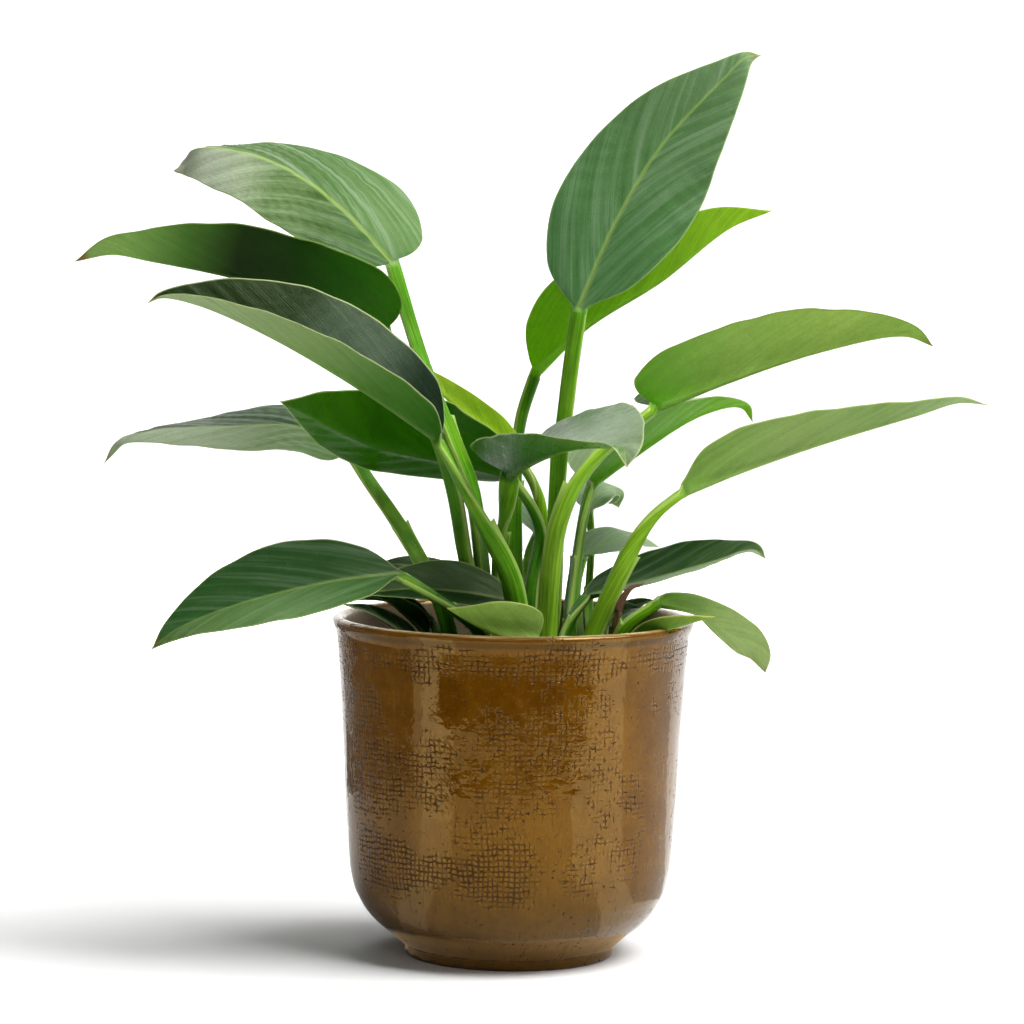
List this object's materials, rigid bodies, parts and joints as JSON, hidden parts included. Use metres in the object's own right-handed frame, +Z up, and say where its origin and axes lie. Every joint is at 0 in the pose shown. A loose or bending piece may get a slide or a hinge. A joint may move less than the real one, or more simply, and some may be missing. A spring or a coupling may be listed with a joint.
{
  "type": "potted philodendron",
  "caption": "Leafy house plant with long pointed leaves on sheathed stalks, growing in soil in a plastic pot inside a glazed cover pot.",
  "frame": {"origin": "centre of the cover pot's underside, on the surface that it stands on", "axes": "+Z up along the pot's axis, +X to the right and +Y away from the viewer in the view that the plant is seen from"},
  "size_m": [0.3514, 0.1952, 0.3509],
  "materials": {
    "glaze": "satin",
    "plastic": "matte",
    "soil": "matte",
    "stem": "satin",
    "leaf": "satin",
    "lime": "satin",
    "dry": "matte"
  },
  "bodies": {
    "root": {"cover_pot": "glaze", "grow_pot": "plastic", "soil": "soil", "crown_main": "stem", "crown_right": "stem", "crown_left": "stem", "crown_front": "stem", "leaf_top_right": "leaf", "leaf_behind_top": "lime", "leaf_right_upper": "leaf", "leaf_right_middle": "leaf", "leaf_front": "leaf", "leaf_behind_right": "leaf", "leaf_top_left": "leaf", "leaf_left_upper": "leaf", "leaf_left_middle": "leaf", "leaf_left_lower": "leaf", "leaf_young": "lime", "leaf_far_left": "leaf", "leaf_front_left_low": "leaf", "leaf_right_low": "leaf", "leaf_over_rim_right": "leaf", "leaf_left_low_inner": "leaf", "leaf_small_front": "lime", "leaf_small_left_1": "lime", "leaf_small_left_2": "lime", "leaf_small_left_3": "leaf", "leaf_left_low_back": "leaf", "leaf_small_right_1": "lime", "leaf_small_right_2": "leaf", "leaf_small_right_3": "leaf", "leaf_back_1": "lime", "leaf_back_2": "lime", "leaf_back_3": "lime", "dry_sheath": "dry"}
  },
  "joints": []
}
